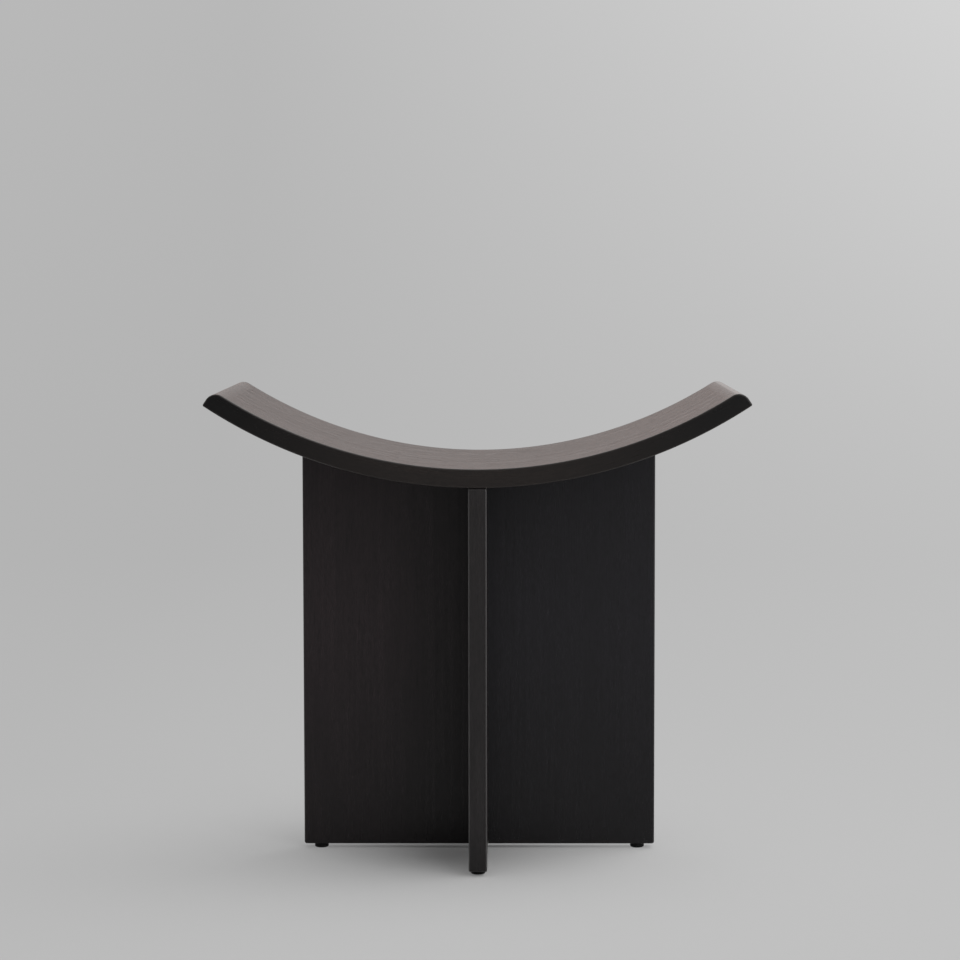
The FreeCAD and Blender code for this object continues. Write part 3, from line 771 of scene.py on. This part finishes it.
# Glides: four black nylon discs, moulded round the blunt ends of plain steel pins that are driven up
# into the panels' bottom edges. Each disc has a wide rounded rim and a slightly hollow sole.
FEET = 4
GLIDE_HEIGHT = 0.005
GLIDE_RADIUS = 0.0075
GLIDE_EDGE = 0.0020
EDGE_STEPS = 8
SOLE_RADIUS = 0.0050
HOLLOW_RADIUS = 0.0035
HOLLOW_DEPTH = 0.0002
PIN_RADIUS = 0.0012
PIN_CLEARANCE = 0.00005
PIN_FOOT = 0.0016
PIN_POINT = 0.0024
TURN_STEPS = 72
NYLON_BLACK = (0.004, 0.004, 0.004, 1)
NYLON_SCUFFED = (0.008, 0.0078, 0.0075, 1)
NYLON_ROUGHNESS = (0.42, 0.58)
NYLON_GLOSS = 0.12
SCUFFS_PER_METRE = 350.0
SCUFF_LIMITS = (0.45, 0.75)
GRAINS_PER_METRE = 2600.0
GRAIN_RELIEF = 0.3
GRAIN_DEPTH = 0.00005
DRAWN_LINE = (0.008, 0.0002)
STEEL_DULL = (0.42, 0.42, 0.43, 1)
STEEL_BRIGHT = (0.60, 0.60, 0.60, 1)
STEEL_ROUGHNESS = (0.28, 0.42)


def turned(profile, name):
    """An object turned about the Z axis from pairs of radius and height, closed where they meet the axis."""
    made = bmesh.new()
    circle = [(math.cos(turn), math.sin(turn)) for turn in spaced(0.0, 2 * math.pi, TURN_STEPS)[:-1]]
    rings = []
    for radius, height in profile:
        rings.append([made.verts.new((radius * x, radius * y, height)) for x, y in circle])
    for low, high in zip(rings, rings[1:]):
        for i in range(TURN_STEPS):
            j = (i + 1) % TURN_STEPS
            made.faces.new((low[i], low[j], high[j], high[i]))
    merge_doubles(made)
    return blank_object(made, name)


def four_feet_tree():
    """Repeats a turned piece under the four panel ends."""
    inputs = {"Piece": "Geometry", "Side Spread": "Float", "Front Spread": "Float", "Finish": "Material"}
    tree, given = new_tree("four_feet", inputs, "Feet")
    ring = node(tree, "GeometryNodeMeshCircle", {"Vertices": FEET, "Radius": 1.0}).outputs["Mesh"]
    place = node(tree, "GeometryNodeInputPosition").outputs["Position"]
    spread = {0: place, 1: vector_of(tree, given["Side Spread"], given["Front Spread"])}
    spots = node(tree, "ShaderNodeVectorMath", spread, operation="MULTIPLY").outputs["Vector"]
    cross = node(tree, "GeometryNodeSetPosition", {"Geometry": ring, "Position": spots}).outputs[0]
    repeated = {"Points": cross, "Instance": given["Piece"]}
    feet = node(tree, "GeometryNodeInstanceOnPoints", repeated).outputs[0]
    end_tree(tree, feet, given["Finish"])
    return tree


nylon, tree, shader = new_finish("black_nylon")
place = place_of(tree)
grains = {"Vector": place, "Scale": GRAINS_PER_METRE, "Detail": 2.0}
grain = node(tree, "ShaderNodeTexNoise", grains).outputs["Fac"]
scuffs = {"Vector": place, "Scale": SCUFFS_PER_METRE, "Detail": 3.0}
scuff = node(tree, "ShaderNodeTexNoise", scuffs).outputs["Fac"]
black = blended(tree, ranged(tree, scuff, *SCUFF_LIMITS), NYLON_BLACK, NYLON_SCUFFED)
tree.links.new(black, shader.inputs["Base Color"])
tree.links.new(ranged(tree, scuff, *NOISE_LIMITS, *NYLON_ROUGHNESS), shader.inputs["Roughness"])
shader.inputs["Specular IOR Level"].default_value = NYLON_GLOSS
bump = node(tree, "ShaderNodeBump", {"Strength": GRAIN_RELIEF, "Distance": GRAIN_DEPTH, "Height": grain})
tree.links.new(bump.outputs["Normal"], shader.inputs["Normal"])

steel, tree, shader = new_finish("zinc_steel")
drawn = streaked(tree, upright(tree), DRAWN_LINE, seed=2.0, detail=2.0)
tree.links.new(blended(tree, drawn, STEEL_DULL, STEEL_BRIGHT), shader.inputs["Base Color"])
tree.links.new(ranged(tree, drawn, *NOISE_LIMITS, *STEEL_ROUGHNESS), shader.inputs["Roughness"])
shader.inputs["Metallic"].default_value = 1.0

glide_profile = [(0.0, HOLLOW_DEPTH), (HOLLOW_RADIUS, HOLLOW_DEPTH), (SOLE_RADIUS, 0.0)]
for turn in spaced(0.0, math.pi / 2, EDGE_STEPS):
    rim = GLIDE_RADIUS - GLIDE_EDGE * (1 - math.sin(turn))
    glide_profile.append((rim, GLIDE_EDGE * (1 - math.cos(turn))))
pin_hole_radius = PIN_RADIUS + PIN_CLEARANCE
glide_profile += [(GLIDE_RADIUS, GLIDE_HEIGHT), (pin_hole_radius, GLIDE_HEIGHT)]
glide_profile += [(pin_hole_radius, PIN_FOOT), (0.0, PIN_FOOT)]
pin_profile = [(0.0, PIN_FOOT), (PIN_RADIUS, PIN_FOOT), (PIN_RADIUS, pin_tip - PIN_POINT), (0.0, pin_tip)]

feet = four_feet_tree()
glides = ("front_glide", "rear_glide", "left_glide", "right_glide")
for name, profile, finish, slot, stands_for in (
    ("nylon_glides", glide_profile, nylon, "nylon_glide", glides),
    ("steel_pins", pin_profile, steel, "zinc_pin", ("glide_pins",)),
):
    rough = turned(profile, name)
    tree_modifier(rough, feet, Side_Spread=side_spread, Front_Spread=front_spread, Finish=finish)
    piece = made_plain(rough, name)
    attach(piece, "root")
    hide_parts(*stands_for)


# Studio: a pale round cove, flat where the stool stands and curving up to a wall all round, open above to
# an even fill. A large soft light hangs high at the rear right, a weaker one stands at the front right.
# Away from the stool the paper glows at a set grey, brighter to the right and upwards and dimmer behind the
# camera: painted light and shade. Near it the floor takes the shadow.
FLOOR_RADIUS = 3.0
COVE_RADIUS = 1.6
WALL_TOP = 3.6
COVE_STEPS = 40
PAPER_ALBEDO = 0.68
PAPER_ROUGHNESS = 0.9
PAPER_GREY = 0.5025
GREY_TO_REAR = -0.0071
GREY_BEHIND_CAMERA = 0.06
DIM_IN_FRONT_OF = -1.0
GREY_TO_RIGHT = 0.0385
GREY_UPWARDS = 0.0526
GREY_TO_UPPER_RIGHT = 0.0391
EVEN_LEFT_OF = -0.65
SHADOW_MIDDLE = Vector((-0.027, -0.046, 0.0))
SHADOW_REACH = 0.209
SHADOW_FALL = 1.8
FILL = 0.50
KEY_PLACE = Vector((1.6, 0.9, 3.2))
KEY_SIDE = 3.0
KEY_WATTS = 55.0
FRONT_PLACE = Vector((2.05, -2.45, 1.6))
FRONT_SIDE = 2.8
FRONT_WATTS = 38.0

cove_profile = [(0.0, 0.0), (FLOOR_RADIUS / 2, 0.0)]
for turn in spaced(0.0, math.pi / 2, COVE_STEPS):
    cove_profile.append((FLOOR_RADIUS + COVE_RADIUS * math.sin(turn), COVE_RADIUS * (1 - math.cos(turn))))
cove_profile.append((FLOOR_RADIUS + COVE_RADIUS, WALL_TOP))
cove = turned(cove_profile, "cove")

paper, tree, shader = new_finish("cove_paper")
shader.inputs["Base Color"].default_value = (PAPER_ALBEDO, PAPER_ALBEDO, PAPER_ALBEDO, 1)
shader.inputs["Roughness"].default_value = PAPER_ROUGHNESS
shader.inputs["Specular IOR Level"].default_value = 0.0
place = place_of(tree)
axes = axes_of(tree, place)
# Painted light: the paper's grey brightens to the right and upwards, and dims behind the camera.
slope = calculated(tree, "MULTIPLY_ADD", axes["Z"], GREY_TO_UPPER_RIGHT, GREY_TO_RIGHT)
to_right = calculated(tree, "MAXIMUM", axes["X"], EVEN_LEFT_OF)
level = calculated(tree, "MULTIPLY_ADD", to_right, slope, PAPER_GREY)
level = calculated(tree, "MULTIPLY_ADD", axes["Y"], GREY_TO_REAR, level)
level = calculated(tree, "MULTIPLY_ADD", axes["Z"], GREY_UPWARDS, level)
in_front = calculated(tree, "MINIMUM", calculated(tree, "SUBTRACT", axes["Y"], DIM_IN_FRONT_OF), 0.0)
level = calculated(tree, "MULTIPLY_ADD", in_front, GREY_BEHIND_CAMERA, level)
grey = node(tree, "ShaderNodeCombineColor", {0: level, 1: level, 2: level}).outputs[0]
even = node(tree, "ShaderNodeEmission", {"Color": grey}).outputs[0]
path = node(tree, "ShaderNodeLightPath").outputs
seen = calculated(tree, "ADD", path["Is Camera Ray"], path["Is Glossy Ray"])
seen = calculated(tree, "MINIMUM", calculated(tree, "ADD", seen, path["Is Transmission Ray"]), 1.0)
ends = {0: place, 1: SHADOW_MIDDLE}
from_stool = node(tree, "ShaderNodeVectorMath", ends, operation="DISTANCE").outputs["Value"]
clear = calculated(tree, "POWER", calculated(tree, "DIVIDE", from_stool, SHADOW_REACH), SHADOW_FALL)
clear_share = calculated(tree, "DIVIDE", clear, calculated(tree, "ADD", clear, 1.0))
even_share = calculated(tree, "MULTIPLY", seen, clear_share)
mixed = node(tree, "ShaderNodeMixShader", {0: even_share, 1: shader.outputs[0], 2: even})
tree.links.new(mixed.outputs[0], tree.nodes["Material Output"].inputs["Surface"])
cove.data.materials.append(paper)


def soft_light(name, place, side, watts):
    """A square lamp turned to the foot of the stool."""
    panel = bpy.data.lights.new(name, "AREA")
    panel.size = side
    panel.energy = watts
    lamp = bpy.data.objects.new(name, panel)
    lamp.location = place
    lamp.rotation_euler = (-place).to_track_quat("-Z", "Y").to_euler()
    bpy.context.scene.collection.objects.link(lamp)


soft_light("key_light", KEY_PLACE, KEY_SIDE, KEY_WATTS)
soft_light("front_light", FRONT_PLACE, FRONT_SIDE, FRONT_WATTS)

world = bpy.data.worlds.new("studio")
bpy.context.scene.world = world
world.use_nodes = True
sky = world.node_tree.nodes["Background"]
sky.inputs["Color"].default_value = (1, 1, 1, 1)
sky.inputs["Strength"].default_value = FILL
bpy.context.scene.view_settings.view_transform = "Standard"


# Camera: a long lens about three metres in front of the stool and a little above the seat, looking
# slightly down. It is almost square on to the front, so the cross panel shows only its edge.
CAMERA_PLACE = Vector((0.03083, -3.05043, 0.62888))
CAMERA_PITCH = 0.0760
CAMERA_YAW = -0.0097
CAMERA_ROLL = -0.0014
LENS = 107.35
SENSOR = 36.0

camera_data = bpy.data.cameras.new("camera")
camera_data.lens = LENS
camera_data.sensor_width = SENSOR
camera = bpy.data.objects.new("camera", camera_data)
ahead = Vector((math.sin(CAMERA_YAW), math.cos(CAMERA_YAW), -math.tan(CAMERA_PITCH))).normalized()
right = Vector((math.cos(CAMERA_YAW), -math.sin(CAMERA_YAW), 0.0))
up = right.cross(ahead)
tilted_right = math.cos(CAMERA_ROLL) * right + math.sin(CAMERA_ROLL) * up
tilted_up = -math.sin(CAMERA_ROLL) * right + math.cos(CAMERA_ROLL) * up
aim = Matrix((tilted_right, tilted_up, -ahead)).transposed().to_4x4()
camera.matrix_world = Matrix.Translation(CAMERA_PLACE) @ aim
bpy.context.scene.collection.objects.link(camera)
bpy.context.scene.camera = camera
